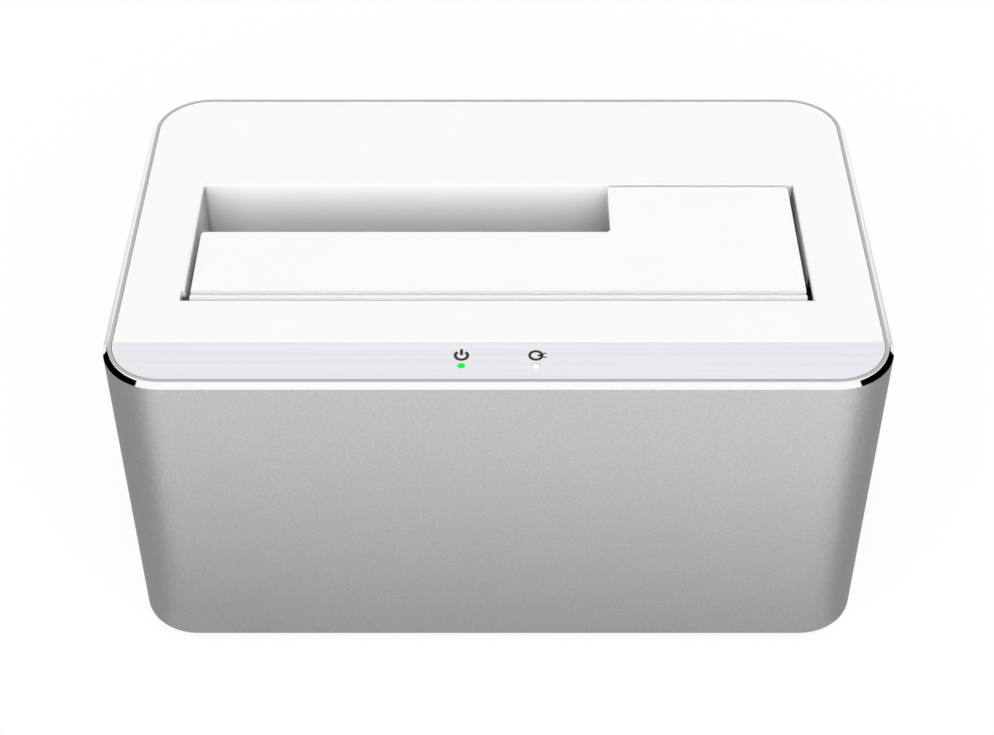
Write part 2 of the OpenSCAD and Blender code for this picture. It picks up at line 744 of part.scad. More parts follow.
// Slot for one of the connector's tongues, with its key at the outer end
module sata_slot(x, l, key_x) {
    z = sata_top_z - sata_slot_depth;
    bar([x, sata_y - sata_slot_w / 2, z], [l, sata_slot_w, sata_slot_depth + 1]);
    bar([key_x, sata_y - sata_slot_w / 2, z],
        [sata_key[0], sata_slot_w + sata_key[1], sata_slot_depth + 1]);
}

module sata_socket() {
    color("black") difference() {
        union() {
            bar([sata_x - sata_body[0] / 2, sata_y - sata_body[1] / 2, board_top_z],
                [sata_body[0], sata_body[1], sata_h]);
            bar([sata_x - sata_wing[0] / 2, sata_y - sata_wing[1] / 2, board_top_z],
                [sata_wing[0], sata_wing[1], sata_wing_h]);
        }
        sata_slot(sata_power_x, sata_power_l, sata_power_x);
        sata_slot(sata_signal_x, sata_signal_l, sata_signal_x + sata_signal_l - sata_key[0]);
    }
}

// Row of contact springs on the front wall of a slot
module contact_row(x, l, count) {
    first = x + l / 2 - (count - 1) / 2 * sata_step;
    for (i = [0:count - 1])
        bar([first + i * sata_step - contact_w / 2, sata_y - sata_slot_w / 2,
             sata_top_z - sata_slot_depth], [contact_w, contact_t, contact_h]);
}

module sata_contacts() {
    color("gold") {
        contact_row(sata_power_x, sata_power_l, power_contacts);
        contact_row(sata_signal_x, sata_signal_l, signal_contacts);
    }
}

module main_board() {
    color("darkgreen") difference() {
        bar([-board_w / 2, board_front_y, board_z], [board_w, board_rear_y - board_front_y, board_t]);
        at_legs() translate([0, 0, board_z - 1])
            cylinder(r = board_screw[0] + hole_gap, h = board_t + 2);
    }
}

module board_screws() {
    color("dimgray") at_legs() translate([0, 0, board_z]) screw(board_screw);
}

// Box-shaped component on the main board, by the place of its middle
module component(at, size) {
    bar([at[0] - size[0] / 2, at[1] - size[1] / 2, board_top_z], size);
}

module bridge_chip() {
    color("black") component(bridge_at, bridge_size);
}

module regulator_chip() {
    color("black") component(regulator_at, regulator_size);
}

module inductors() {
    color("gray") for (d = rear_rows)
        component([board_w / 2 - inductor_side, board_rear_y - d], inductor_size);
}

module capacitors() {
    color("steelblue") for (d = rear_rows)
        translate([can_side - board_w / 2, board_rear_y - d, board_top_z]) cylinder(r = can_r, h = can_h);
}

module crystal() {
    color("silver") component(crystal_at, crystal_size);
}

// Small resistors and capacitors in two rows beside the bridge chip
module chip_parts() {
    color("tan") for (i = [0:part_count - 1], y = part_rows)
        component([bridge_at[0] + (i - (part_count - 1) / 2) * part_step, y], part_size);
}

usb_mouth_y = shell_d / 2 - usb_lap;

module usb_shell() {
    color("silver") to_rear([usb_x, usb_mouth_y - usb_l, usb_z]) linear_extrude(usb_l) difference() {
        usb_outline(usb_skin);
        usb_outline(0);
    }
}

// Plastic block at the back of the data socket, with its two tongues
module usb_insulator() {
    color("royalblue") {
        to_rear([usb_x, usb_mouth_y - usb_l, usb_z])
            linear_extrude(usb_l - usb_depth) usb_outline(-touch);
        for (t = [[usb_tongue, usb_tongue_z], [usb_blade, usb_blade_z]])
            bar([usb_x - t[0][0] / 2, usb_mouth_y - usb_depth - eps, usb_z + t[1]],
                [t[0][0], usb_depth - usb_front, t[0][1]]);
    }
}

// Contacts on top of the lower tongue and under the upper one
module usb_contacts() {
    color("gold") {
        for (x = [-0.5, 0.5], z = [usb_tongue_z - usb_contact_t, usb_tongue_z + usb_tongue[1]])
            usb_contact(x * usb_contact_step[0], usb_contact_w[0], z);
        for (i = [-2:2])
            usb_contact(i * usb_contact_step[1], usb_contact_w[1], usb_blade_z - usb_contact_t);
    }
}

// One contact strip, by its middle and its height in the socket
module usb_contact(x, w, z) {
    bar([usb_x + x - w / 2, usb_mouth_y - usb_depth, usb_z + z],
        [w, usb_depth - usb_front - usb_contact_short, usb_contact_t]);
}

// Power inlet: a block on the board with a round nose through the shell
module dc_jack() {
    body_y = inner_d / 2 - board_gap - dc_l;
    color("black") difference() {
        union() {
            bar([dc_x - dc_body[0] / 2, body_y, board_top_z], [dc_body[0], dc_l, dc_body[1]]);
            to_rear([dc_x, body_y + 1, dc_z]) cylinder(r = dc_nose_r, h = dc_face_y - body_y - 1);
        }
        to_rear([dc_x, dc_floor_y, dc_z]) cylinder(r = dc_bore_r, h = dc_depth + 1);
    }
}

module dc_pin() {
    color("silver") to_rear([dc_x, dc_floor_y, dc_z])
        cylinder(r = dc_pin_r, h = dc_depth - dc_pin_short);
}

// Switch body on the board, with a channel for its plunger
module power_switch() {
    color("black") difference() {
        bar([button_x - switch_w / 2, switch_front_y - switch_l, board_top_z],
            [switch_w, switch_l, button_z - board_top_z + switch_w / 2]);
        bar([button_x - plunger_w / 2 - slip, switch_front_y - switch_depth,
             button_z - plunger_w / 2 - slip],
            [plunger_w + 2 * slip, switch_depth + 1, plunger_w + 2 * slip]);
    }
}

module switch_spring() {
    color("silver") wire(coil_path, coil_wire_r, wire_sides);
}

module switch_plunger() {
    color("ivory")
        bar([button_x - plunger_w / 2, switch_front_y - plunger_in, button_z - plunger_w / 2],
            [plunger_w, flange_y + plunger_grip - switch_front_y + plunger_in, plunger_w]);
}

// Round push button with a flange behind the shell and a socket for the plunger
module power_button() {
    color("whitesmoke") difference() {
        to_rear([button_x, flange_y, button_z]) {
            cylinder(r = flange_r, h = flange_t);
            cylinder(r = button_r, h = shell_d / 2 + button_proud - flange_y);
        }
        bar([button_x - plunger_w / 2 - touch, flange_y - 1, button_z - plunger_w / 2 - touch],
            [plunger_w + 2 * touch, plunger_grip + 1, plunger_w + 2 * touch]);
    }
}

// Bottom cover with seats for the feet, holes for the case screws and pillars under the board
module base_plate() {
    color("dimgray") difference() {
        union() {
            translate([0, 0, base_z]) rounded_slab(base_w, base_d, seat_r - seat_gap, base_t);
            for (x = [-1, 0, 1], y = pillar_rows)
                translate([x * (board_w / 2 - pillar_side), y, base_top_z - eps])
                    cylinder(r = pillar_r, h = board_rise + eps);
        }
        at_posts() {
            translate([0, 0, base_z - 1]) cylinder(r = case_screw[0] + hole_gap, h = base_t + 2);
            translate([0, 0, base_z - 1])
                cylinder(r = case_screw[2] + hole_gap, h = base_t - base_skin + 1);
        }
        for (x = [-1, 1], y = [-1, 1])
            translate([x * foot_x, y * foot_y, base_z - 1])
                cylinder(r = foot_r + foot_gap, h = foot_seat + 1);
    }
}

// Round rubber foot with a broken lower edge
module rubber_foot(x, y) {
    color("black") translate([x * foot_x, y * foot_y, 0]) {
        translate([0, 0, foot_dome]) cylinder(r = foot_r, h = base_z + foot_seat - foot_dome);
        cylinder(r1 = foot_r - foot_dome, r2 = foot_r, h = foot_dome);
    }
}

module case_screws() {
    color("dimgray") at_posts() translate([0, 0, base_top_z - base_skin]) screw(case_screw);
}

outer_shell();
top_panel();
indicator_strip();
power_lens();
activity_lens();
led_board();
power_led();
activity_led();
led_plug();
led_ribbon();
ribbon_header();
led_board_screws();
flap();
hinge_pin();
flap_spring();
drive_guide();
guide_screws();
sata_socket();
sata_contacts();
main_board();
board_screws();
bridge_chip();
regulator_chip();
inductors();
capacitors();
crystal();
chip_parts();
usb_shell();
usb_insulator();
usb_contacts();
dc_jack();
dc_pin();
power_switch();
switch_spring();
switch_plunger();
power_button();
base_plate();
rubber_foot(-1, -1);  // foot_front_left
rubber_foot(1, -1);  // foot_front_right
rubber_foot(-1, 1);  // foot_rear_left
rubber_foot(1, 1);  // foot_rear_right
case_screws();
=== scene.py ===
from math import cos, hypot, pi, radians, sin

import bmesh
import bpy
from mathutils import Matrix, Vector


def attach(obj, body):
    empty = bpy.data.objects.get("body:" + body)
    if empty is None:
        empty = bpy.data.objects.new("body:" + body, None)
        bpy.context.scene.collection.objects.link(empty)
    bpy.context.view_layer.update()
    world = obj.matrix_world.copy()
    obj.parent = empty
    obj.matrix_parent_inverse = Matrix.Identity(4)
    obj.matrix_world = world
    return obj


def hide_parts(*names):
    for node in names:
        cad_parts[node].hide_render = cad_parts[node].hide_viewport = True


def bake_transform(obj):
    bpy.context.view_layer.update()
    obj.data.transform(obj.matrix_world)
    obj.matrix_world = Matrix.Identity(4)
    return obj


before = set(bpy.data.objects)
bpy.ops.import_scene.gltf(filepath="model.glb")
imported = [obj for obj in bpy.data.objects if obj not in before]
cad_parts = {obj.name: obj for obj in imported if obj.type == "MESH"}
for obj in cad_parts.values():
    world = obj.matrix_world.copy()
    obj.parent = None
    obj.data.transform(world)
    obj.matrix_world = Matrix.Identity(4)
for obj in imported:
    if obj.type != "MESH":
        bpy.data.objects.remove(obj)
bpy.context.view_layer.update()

# Aluminium shell
# A rounded sleeve cut from an extrusion, bead blasted and anodised. It is open at both ends, with a seat
# milled at each for a plate, and its top edge is cut bright with a diamond tool after the anodising.

MM = 0.001


def clear():
    """Leaves edit mode with nothing selected, so that the next step touches only what it adds"""
    if bpy.context.mode != "OBJECT":
        bpy.ops.object.mode_set(mode="OBJECT")
    bpy.ops.object.select_all(action="DESELECT")


def edit(piece):
    """Opens a piece for editing"""
    clear()
    bpy.context.view_layer.objects.active = piece
    piece.select_set(True)
    bpy.ops.object.mode_set(mode="EDIT")
    return piece


def opened(name):
    """Names the primitive just added, puts its place into its mesh and opens it"""
    piece = bpy.context.object
    piece.name = name
    piece.data.name = name
    bpy.ops.object.transform_apply(location=True, rotation=True, scale=True)
    return edit(piece)


def block(name, low, high):
    """Box between two corners given in millimetres"""
    clear()
    low, high = Vector(low) * MM, Vector(high) * MM
    bpy.ops.mesh.primitive_cube_add(size=1, location=(low + high) / 2)
    bpy.context.object.scale = high - low
    return opened(name)


def rod(name, radius, start, end, sides=48):
    """Round bar between two points given in millimetres"""
    clear()
    start, end = Vector(start) * MM, Vector(end) * MM
    bpy.ops.mesh.primitive_cylinder_add(
        vertices=sides, radius=radius * MM, depth=(end - start).length, location=(start + end) / 2,
        rotation=(end - start).to_track_quat("Z", "Y").to_euler())
    return opened(name)


def choose(kind, chosen):
    """Selects, in edit mode, the faces or edges for which chosen(item) holds"""
    bpy.ops.mesh.select_mode(type=kind)
    bpy.ops.mesh.select_all(action="DESELECT")
    mesh = bpy.context.edit_object.data
    shape = bmesh.from_edit_mesh(mesh)
    shape.normal_update()
    for item in {"FACE": shape.faces, "EDGE": shape.edges}[kind]:
        if chosen(item):
            item.select_set(True)
    shape.select_flush_mode()
    bmesh.update_edit_mesh(mesh)


def faces(test):
    """Selects faces by test(middle in millimetres, normal)"""
    choose("FACE", lambda face: test(face.calc_center_median() / MM, face.normal))


def edges(test):
    """Selects edges by test(middle in millimetres, direction, degrees between the two faces)"""
    def chosen(edge):
        one, two = [corner.co for corner in edge.verts]
        bend = edge.calc_face_angle(0) * 180 / pi
        return test((one + two) / 2 / MM, (two - one).normalized(), bend)
    choose("EDGE", chosen)


def bevel(width, steps=1):
    bpy.ops.mesh.bevel(offset=width * MM, segments=steps, affect="EDGES")


def inset(width):
    bpy.ops.mesh.inset(thickness=width * MM, use_even_offset=True)


def pull(x, y, z):
    """Extrudes the selected faces by a way given in millimetres"""
    bpy.ops.mesh.extrude_region_move(TRANSFORM_OT_translate={"value": (x * MM, y * MM, z * MM)})


def carve(piece, tool, how="DIFFERENCE"):
    """Cuts a tool out of a piece, or welds it on, and clears the tool away"""
    clear()
    bpy.context.view_layer.objects.active = piece
    piece.select_set(True)
    bpy.ops.object.modifier_add(type="BOOLEAN")
    cut = piece.modifiers[-1]
    cut.operation = how
    cut.object = tool
    bpy.ops.object.modifier_apply(modifier=cut.name)
    bpy.data.objects.remove(tool)


def join(piece, *others):
    """Makes one piece of several"""
    clear()
    for part in (piece, *others):
        part.select_set(True)
    bpy.context.view_layer.objects.active = piece
    bpy.ops.object.join()
    return piece


def smooth(piece, degrees=32):
    """Shades the rounded faces smooth, keeps the crisp edges and leaves the flat faces flat"""
    clear()
    bpy.context.view_layer.objects.active = piece
    piece.select_set(True)
    bpy.ops.object.shade_smooth_by_angle(angle=radians(degrees))
    bpy.ops.object.modifier_add(type="WEIGHTED_NORMAL")
    piece.modifiers[-1].keep_sharp = True
    piece.modifiers[-1].weight = 100
    bpy.ops.object.modifier_apply(modifier=piece.modifiers[-1].name)


def upright(at, way, bend):
    """Test for a sharp edge that stands upright"""
    return abs(way.z) > 0.99 and bend > 45


half_wide, half_deep, underside, top = 63.4, 39.5, 1.5, 62
shell_corner, chamfer, polished_round = 10.25, 0.8, 0.2
upper_rim, upper_seat, upper_ledge = 0.46, 3, 1.14
lower_rim, lower_seat, lower_ledge = 1, 2.9, 1.2
shell = block("aluminium_shell", (-half_wide, -half_deep, underside), (half_wide, half_deep, top))
edges(upright)
bevel(shell_corner, 28)
edges(lambda at, way, bend: at.z > top - 0.1)
bevel(chamfer)
edges(lambda at, way, bend: at.z > top - 0.1)
bevel(polished_round, 4)
edges(lambda at, way, bend: at.z < underside + 0.1)
bevel(0.4)
faces(lambda at, way: way.z > 0.9999)
inset(upper_rim)
pull(0, 0, -upper_seat)
inset(upper_ledge)
faces(lambda at, way: way.z < -0.99)
inset(lower_rim)
pull(0, 0, lower_seat)
inset(lower_ledge)
faces(lambda at, way: abs(way.z) > 0.99 and hypot(at.x, at.y) < 1)
bpy.ops.mesh.bridge_edge_loops()

# Holes in the rear wall for the data socket, the power inlet and the button
def socket_outline(name, grow, start_y, end_y):
    """Stepped bar with the data socket's outline, grown all round"""
    bar = block(name, (-4.25 - grow, start_y, 9.4 - grow), (4.25 + grow, end_y, 17.2 + grow))
    edges(lambda at, way, bend: abs(way.y) > 0.99 and at.z > 17)
    bevel(0.9)
    for side in (-1, 1):
        bpy.ops.mesh.select_all(action="SELECT")
        bpy.ops.mesh.bisect(plane_co=(side * (2.4 + grow) * MM, 0, 0), plane_no=(1, 0, 0))
    faces(lambda at, way: way.z > 0.99 and abs(at.x) < 1)
    pull(0, 0, 2.6)
    return bar


wall_in, wall_out = 35.5, 41
inlet_x, inlet_z = -22, 15.5
button_x, button_z = 22, 15
carve(shell, socket_outline("socket_hole", 0.8, wall_in, wall_out))
carve(shell, rod("inlet_hole", 4.5, (inlet_x, wall_in, inlet_z), (inlet_x, wall_out, inlet_z)))
carve(shell, rod("button_hole", 3.8, (button_x, wall_in, button_z), (button_x, wall_out, button_z)))
edit(shell)
edges(lambda at, way, bend: at.y > half_deep - 0.01 and bend > 60 and abs(at.x) < 30)
bevel(0.15, 2)
smooth(shell)


class Signal:
    """A shader socket that takes part in sums, so that a mask reads as a plain expression"""

    def __init__(self, tree, socket=None):
        self.tree = tree
        self.socket = socket

    def node(self, kind, settings=(), inputs=(), out=0):
        """Adds a node with its settings, fills its sockets and gives one of its outputs"""
        made = self.tree.nodes.new(kind)
        for name, value in dict(settings).items():
            setattr(made, name, value)
        for name, value in dict(inputs).items():
            if isinstance(value, Signal):
                self.tree.links.new(value.socket, made.inputs[name])
            else:
                made.inputs[name].default_value = value
        return Signal(self.tree, made.outputs[out] if made.outputs else None)

    def maths(self, operation, *values):
        return self.node("ShaderNodeMath", {"operation": operation}, enumerate(values))

    def __add__(self, other):
        return self.maths("ADD", self, other)

    def __sub__(self, other):
        return self.maths("SUBTRACT", self, other)

    def __rsub__(self, other):
        return self.maths("SUBTRACT", other, self)

    def __mul__(self, other):
        return self.maths("MULTIPLY", self, other)

    def __lt__(self, other):
        return self.maths("LESS_THAN", self, other)

    def __gt__(self, other):
        return self.maths("GREATER_THAN", self, other)

    __radd__ = __add__
    __rmul__ = __mul__

    def tint(self, dark, light):
        """Colour between two, by this value"""
        return self.node("ShaderNodeMix", {"data_type": "RGBA"},
                         {0: self, 6: (*dark, 1), 7: (*light, 1)}, 2)

    def noise(self, scale, detail=2, stretch=(1, 1, 1)):
        """Noise at this place, with so many cells in a metre"""
        place = self.node("ShaderNodeMapping", {}, {"Vector": self, "Scale": stretch})
        return self.node("ShaderNodeTexNoise", {}, {"Vector": place, "Scale": scale, "Detail": detail})

    def bump(self, height, strength):
        """Normal raised by this value, which is a height in so many metres"""
        return self.node("ShaderNodeBump", {}, {"Height": self, "Distance": height, "Strength": strength})

    def into(self, socket):
        self.tree.links.new(self.socket, socket)


def finish(name, metallic, roughness):
    """New material: itself, its shader's sockets, and the place on the piece"""
    made = bpy.data.materials.new(name)
    made.use_nodes = True
    shader = made.node_tree.nodes["Principled BSDF"].inputs
    shader["Metallic"].default_value = metallic
    shader["Roughness"].default_value = roughness
    return made, shader, Signal(made.node_tree).node("ShaderNodeTexCoord", out=3)


def wear(piece, *materials):
    """Gives a piece its materials"""
    piece.data.materials.clear()
    for made in materials:
        piece.data.materials.append(made)


blasted, shader, place = finish("blasted_aluminium", 1, 0.42)
grain = place.noise(4200, 3) * 0.45 + place.noise(1900, 2) * 0.55
tone = grain * 0.94 + place.noise(120, 2) * 0.06
tone.tint((0.44, 0.44, 0.445), (0.76, 0.76, 0.765)).into(shader["Base Color"])
(grain * 0.16 + 0.34).into(shader["Roughness"])
grain.bump(0.00006, 0.5).into(shader["Normal"])

bright, shader, place = finish("bright_cut_chamfer", 1, 0.05)
lines = place.noise(900, 2, (0.2, 0.2, 12))
lines.tint((0.93, 0.93, 0.935), (0.97, 0.97, 0.975)).into(shader["Base Color"])
(lines * 0.04 + 0.03).into(shader["Roughness"])

# The rim's milled land: the same aluminium tinted darker, as painted shade along the white top's edge
milled_and_shaded, shader, place = finish("milled_rim_painted_shade", 1, 0.4)
marks = place.noise(1500, 2)
marks.tint((0.47, 0.47, 0.475), (0.55, 0.55, 0.555)).into(shader["Base Color"])
(marks * 0.1 + 0.35).into(shader["Roughness"])

wear(shell, blasted, bright, milled_and_shaded)
edit(shell)
faces(lambda at, way: at.z > top - 0.9 and 0.1 < way.z < 0.99)
shell.active_material_index = 1
bpy.ops.object.material_slot_assign()
faces(lambda at, way: at.z > top - 0.1 and way.z > 0.99)
shell.active_material_index = 2
bpy.ops.object.material_slot_assign()
clear()
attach(shell, "housing")
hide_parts("outer_shell")

# White top
# One moulding in white ABS with a fine spark texture: the plate, the slot with its skirt, and under the
# plate the posts, bosses and hinge ear. It drops into the shell's upper seat and screws hold it from below.
plate_wide, plate_deep, plate_corner = 61.9, 38, 8.75
skirt_end, skirt_front, skirt_rear, skirt_low = 54.05, -21.2, 14.6, 41
slot_end, slot_front, slot_rear = 51.85, -19, 12.4
strip_low, strip_rear = 61.2, -29.1
lens_x, lens_y, lens_bore = 5.9, -34.8, 0.62
hinge_y, hinge_z, pin_bore = -16.3, 59.5, 0.77
post_x, post_y, post_top = 55.4, 31.5, 59.4
panel = block("white_top", (-plate_wide, -plate_deep, 59), (plate_wide, plate_deep, top))
edges(upright)
bevel(plate_corner, 24)
carve(panel, block("skirt", (-skirt_end, skirt_front, skirt_low), (skirt_end, skirt_rear, 60)), "UNION")
carve(panel, block("slot", (-slot_end, slot_front, 40), (slot_end, slot_rear, 63)))
carve(panel, block("strip_recess", (-63, -40, strip_low), (63, strip_rear, 63)))
carve(panel, block("hinge_notch", (-52.35, -19, 58), (-51.8, -16, 63)))
carve(panel, block("spring_window", (51.8, -17.95, 54.5), (54.1, -11.3, 61.15)))
carve(panel, block("spring_room", (51.8, -17.95, 58), (55.96, -14.65, 61.15)))
carve(panel, block("tab_pocket", (26.85, 12.3, 50.06), (43.15, 13.7, 59.5)))
for x in (-lens_x, lens_x):
    carve(panel, rod("lens_hole", lens_bore, (x, lens_y, 58), (x, lens_y, 63), 24))
carve(panel, rod("pin_bore", pin_bore, (-56, hinge_y, hinge_z), (55, hinge_y, hinge_z), 24))
edit(panel)
edges(lambda at, way, bend: at.z > top - 0.01 and bend > 60 and (abs(at.x) > 53 or abs(at.y) > 20))
bevel(0.14, 3)
edges(lambda at, way, bend: at.z > top - 0.01 and bend > 60 and abs(at.x) < 53 and abs(at.y) < 20)
bevel(0.08, 2)

# Rounds on the slot's two end edges, on the left only as far forward as the hinge's notch
round_x, round_z, edge_round = 52.25, 61.59, 0.4
for side, front in ((-1, -16.05), (1, -19.05)):
    x = side * round_x
    inner = x * 0.98
    edge = block("slot_edge", (min(x, inner), front, round_z), (max(x, inner), 12.45, 63))
    carve(edge, rod("edge_round", edge_round, (x, -20, round_z), (x, 14, round_z), 64))
    carve(panel, edge)


def screw_bore(wall, depth):
    """Bores the bar just made from below, and leaves a wall of so much round the hole"""
    faces(lambda at, way: way.z < -0.99)
    inset(wall)
    pull(0, 0, depth)


under = []
for x in (-post_x, post_x):
    for y in (-post_y, post_y):
        under.append(rod("case_post", 3, (x, y, 4.4), (x, y, post_top), 40))
        screw_bore(1.55, 11)
for x in (-30, 30):
    for y in (-23.6, 17):
        under.append(rod("guide_boss", 2.6, (x, y, skirt_low), (x, y, post_top), 32))
        screw_bore(1.45, 6)
for x in (-12.5, 12.5):
    under.append(rod("indicator_boss", 2.2, (x, -30.1, 54.5), (x, -30.1, post_top), 32))
    screw_bore(1.25, 3.4)
under.append(block("hinge_ear", (55.96, -19.3, 56.5), (57.96, -13.3, post_top)))
edges(lambda at, way, bend: abs(way.x) > 0.99 and at.z < 57)
bevel(1.5, 6)
carve(under[-1], rod("ear_bore", pin_bore, (55, hinge_y, hinge_z), (59, hinge_y, hinge_z), 24))
under.append(block("spring_web", (54, -19.45, 52), (57.96, -17.95, post_top)))
edges(lambda at, way, bend: abs(way.y) > 0.99 and at.z < 52.2 and at.x > 57)
bevel(1.5, 6)
join(panel, *under)
smooth(panel)


def moulded(name, dark, light, roughness, grit=2600, depth=0.00004, painted_shades=()):
    """Moulded plastic with a spark texture: two close tints, a fine grain and a slow drift in gloss. A
    painted
    shade is a box in millimetres: its two far corners, the share of the colour that is left in it, and,
    where it fades, the number of an axis with the places on it where the plastic is unshaded and fully
    shaded"""
    made, shader, place = finish(name, 0, roughness)
    fine = place.noise(grit, 3)
    drift = place.noise(90, 2)
    colour = (fine * 0.5 + drift * 0.5).tint(dark, light)
    for low, high, share, *fades in painted_shades:
        spot = place.node("ShaderNodeSeparateXYZ", {}, {0: place}).socket.node.outputs
        inside = 1
        for axis in range(3):
            along = Signal(place.tree, spot[axis])
            inside = (along > low[axis] * MM) * (along < high[axis] * MM) * inside
        for axis, unshaded, full in fades:
            along = Signal(place.tree, spot[axis])
            inside *= along.node("ShaderNodeMapRange", {}, {
                "Value": along, "From Min": unshaded * MM, "From Max": full * MM})
        shaded_colour = [tone * share for tone in dark]
        colour = inside.node("ShaderNodeMix", {"data_type": "RGBA"},
                             {0: inside, 6: colour, 7: (*shaded_colour, 1)}, 2)
    colour.into(shader["Base Color"])
    (drift * 0.12 + (roughness - 0.06)).into(shader["Roughness"])
    fine.bump(depth, 0.35).into(shader["Normal"])
    return made


# Painted shade on the white plastic: a dark line behind the flap, near black round the spring, grey on the
# slot's two ends, and darker in its two rear corners
gap_shade = (19.4, 12.3, 59), (51.9, 12.47, 61.99), 0.86
spring_room_shade = (51.95, -19.5, 50), (58.1, -11.2, 61.2), 0.04
left_end_shade = (-51.95, -16.1, 40.9), (-51.75, 1, 61.6), 0.86
left_corner_shade = (-51.95, 5.5, 40.9), (-51.75, 12.6, 61.6), 0.5, (1, 5.5, 12.45)
rear_shade = (-51.95, 12.3, 40.9), (-44, 12.6, 61.6), 0.9, (0, -44, -51)
rear_corner_shade = (-51.95, 12.3, 40.9), (-51.2, 12.6, 61.6), 0.6, (0, -51.2, -51.85)
right_end_shade = (51.75, -19.1, 40.9), (51.95, 2, 61.6), 0.8
right_corner_shade = (51.75, 2, 40.9), (51.95, 12.6, 61.6), 0.36, (1, -4, 12.45)
white_plastic = moulded("white_plastic", (0.87, 0.87, 0.865), (0.92, 0.92, 0.915), 0.5,
                        painted_shades=(gap_shade, spring_room_shade, left_end_shade, left_corner_shade, rear_shade, rear_corner_shade,
                                right_end_shade, right_corner_shade))
wear(panel, white_plastic)
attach(panel, "housing")
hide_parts("top_panel")

# Brushed strip
# A strip of aluminium sheet, brushed along its length and glued into the front of the white top. Two
# symbols are printed on it in black, over the holes where the light pipes end.
strip = block("brushed_strip", (-plate_wide, -37.95, strip_low), (plate_wide, strip_rear, top))
edges(lambda at, way, bend: upright(at, way, bend) and at.y < -37)
bevel(plate_corner, 24)
for x in (-lens_x, lens_x):
    carve(strip, rod("lens_hole", lens_bore, (x, lens_y, 60), (x, lens_y, 63), 24))
edit(strip)
edges(lambda at, way, bend: at.z > top - 0.01 and bend > 60)
bevel(0.08, 2)
smooth(strip)
brushed, shader, place = finish("brushed_aluminium", 1, 0.3)
hair = place.noise(1, 3, (60, 5200, 400))
streak = place.noise(1, 2, (14, 1300, 200))
(hair * 0.5 + streak * 0.5).tint((0.72, 0.725, 0.755), (0.90, 0.905, 0.93)).into(shader["Base Color"])
(hair * 0.2 + 0.24).into(shader["Roughness"])
hair.bump(0.00002, 0.35).into(shader["Normal"])
wear(strip, brushed)
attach(strip, "housing")
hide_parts("indicator_strip")


ink_low, ink_high = 61.99, 62.03


def arc(name, centre, radius, line, start, turn):
    """Printed arc: a small square of ink spun round a centre, angles in degrees from the right"""
    piece = block(name, (centre[0] + radius - line / 2, centre[1], ink_low),
                  (centre[0] + radius + line / 2, centre[1] + 0.01, ink_high))
    middle = (centre[0] * MM, centre[1] * MM, 0)
    bpy.ops.mesh.select_all(action="SELECT")
    bpy.ops.transform.rotate(value=-radians(start), orient_axis="Z", center_override=middle)
    faces(lambda at, way: way.y * cos(radians(start)) - way.x * sin(radians(start)) > 0.9)
    bpy.ops.mesh.spin(steps=40, angle=radians(turn), center=middle, axis=(0, 0, -1))
    bpy.ops.mesh.select_all(action="SELECT")
    bpy.ops.mesh.remove_doubles(threshold=0.000001)
    bpy.ops.mesh.normals_make_consistent(inside=False)
    return piece


def ring(name, centre, radius, line):
    """Printed ring: a thin disc of ink with a round hole"""
    piece = rod(name, radius + line / 2, (*centre, ink_low), (*centre, ink_high), 40)
    faces(lambda at, way: abs(way.z) > 0.99)
    inset(line)
    faces(lambda at, way: abs(way.z) > 0.99 and hypot(at.x - centre[0], at.y - centre[1]) < 0.1)
    bpy.ops.mesh.bridge_edge_loops()
    return piece


def stroke(name, low, high):
    """Printed straight line with rounded ends"""
    piece = block(name, (*low, ink_low), (*high, ink_high))
    edges(upright)
    bevel(0.1, 3)
    return piece


power_symbol = join(arc("power_symbol", (-5.88, -32.4), 0.99, 0.5, 130, 280),
                    stroke("power_bar", (-6.13, -32.35), (-5.63, -30.95)))
disk = ring("drive_symbol", (5.95, -32.4), 0.99, 0.46)
arm = stroke("drive_arm", (6.2, -32.58), (7.05, -32.22))
ticks = [stroke("drive_tick", (7.1, -32.05 + step), (7.65, -31.83 + step)) for step in (0, -0.87)]
drive_symbol = join(disk, arm, *ticks)
ink = moulded("symbol_ink", (0.006, 0.006, 0.006), (0.014, 0.014, 0.014), 0.6)
for symbol in (power_symbol, drive_symbol):
    smooth(symbol)
    wear(symbol, ink)
    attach(symbol, "housing")

# Indicators
# Two light pipes moulded in clear acrylic. Each has a collar that stops it under the white top and a round
# tip flush with the strip. The left one shows green while the dock has power.
def light_pipe(name, x):
    """Collar, with the thinner tip drawn up out of it"""
    piece = rod(name, 1.2, (x, lens_y, 56), (x, lens_y, 59), 32)
    faces(lambda at, way: way.z > 0.99)
    inset(0.6)
    pull(0, 0, 3)
    edges(lambda at, way, bend: at.z > top - 0.01)
    bevel(0.2, 4)
    smooth(piece)
    return piece


def lens(name, dark, light, glow, strength, gloss):
    """Acrylic with faint flow lines, lit from below where it has a glow"""
    made, shader, place = finish(name, 0, 0.18)
    flow = place.noise(700, 2, (1, 1, 0.2))
    flow.tint(dark, light).into(shader["Base Color"])
    (flow * 0.08 + 0.14).into(shader["Roughness"])
    flow.tint(glow, light).into(shader["Emission Color"])
    shader["Emission Strength"].default_value = strength
    shader["Specular IOR Level"].default_value = gloss
    return made


for name, x, node, slot, made in (
        ("green_light_pipe", -lens_x, "power_lens", "green_lens",
         lens("green_lens", (0.0, 0.2, 0.02), (0.0, 0.28, 0.03), (0.0, 0.8, 0.07), 1.3, 0.1)),
        ("clear_light_pipe", lens_x, "activity_lens", "clear_lens",
         lens("clear_lens", (0.9, 0.9, 0.87), (0.95, 0.95, 0.93), (0.5, 0.5, 0.48), 0.15, 0.5))):
    pipe = light_pipe(name, x)
    wear(pipe, made)
    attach(pipe, "housing")
    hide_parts(node)

